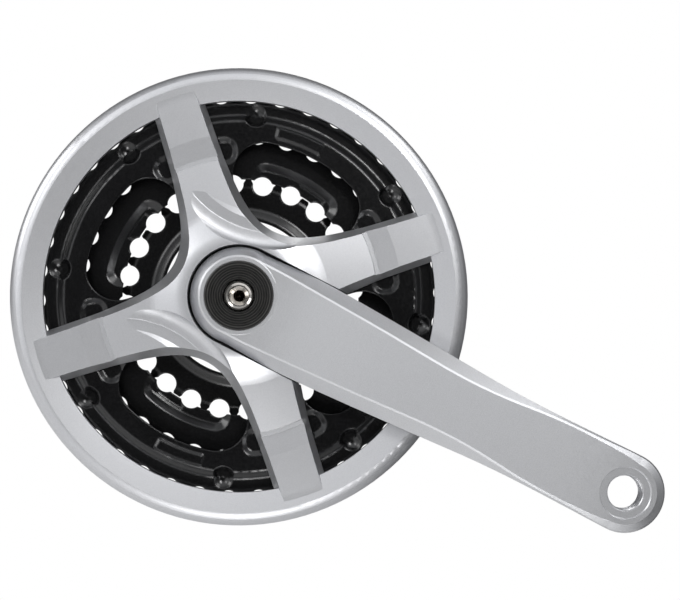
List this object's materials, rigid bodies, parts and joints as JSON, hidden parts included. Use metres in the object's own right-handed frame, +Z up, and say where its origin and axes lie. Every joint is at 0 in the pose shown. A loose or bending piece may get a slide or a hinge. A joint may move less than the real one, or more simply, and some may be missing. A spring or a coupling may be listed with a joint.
{
  "type": "bicycle crankset",
  "caption": "Right-hand bicycle crankset: forged crank arm, riveted chainrings, spoked chain guard, and a bolt and cap for a square-taper spindle.",
  "frame": {"origin": "on the spindle axis at the middle chainring's mid-plane, inside the square taper hole", "axes": "+X along the crank arm to the pedal eye, -Y outboard away from the bicycle and +Y inboard towards the bottom bracket, +Z up"},
  "size_m": [0.2863, 0.0527, 0.19],
  "materials": {
    "silver_paint_metal": "satin silver paint with fine metallic flake over forged aluminium",
    "silver_paint_plastic": "satin silver paint over moulded plastic",
    "black_ring_coat": "glossy black electrocoat over stamped steel",
    "black_rivet_coat": "glossy black electrocoat over steel rivets",
    "zinc_screw": "zinc-plated steel",
    "zinc_steel": "zinc-plated steel",
    "nickel_steel": "bright nickel-plated steel",
    "black_plastic": "satin black moulded plastic with fine turned rings"
  },
  "bodies": {
    "crankset": {"crank_arm": "silver_paint_metal", "bolt_washer": "zinc_steel", "chain_guard": "silver_paint_plastic", "large_chainring": "black_ring_coat", "middle_chainring": "black_ring_coat", "small_chainring": "black_ring_coat", "outer_ring_rivet_1": "black_rivet_coat", "outer_ring_rivet_2": "black_rivet_coat", "outer_ring_rivet_3": "black_rivet_coat", "outer_ring_rivet_4": "black_rivet_coat", "inner_ring_rivet_1": "black_rivet_coat", "inner_ring_rivet_2": "black_rivet_coat", "inner_ring_rivet_3": "black_rivet_coat", "inner_ring_rivet_4": "black_rivet_coat", "guard_screw_1": "zinc_screw", "guard_screw_2": "zinc_screw", "guard_screw_3": "zinc_screw", "guard_screw_4": "zinc_screw"},
    "bolt": {"crank_bolt": "nickel_steel"},
    "cap": {"crank_cap": "black_plastic"}
  },
  "joints": [
    {"name": "bolt_turn", "type": "hinge", "parent": "crankset", "child": "bolt", "pos_m": [0, 0, 0], "axis": [0, -1, 0], "continuous": true},
    {"name": "cap_pull", "type": "slide", "parent": "crankset", "child": "cap", "axis": [0, -1, 0], "range_m": [0, 0.012]}
  ]
}
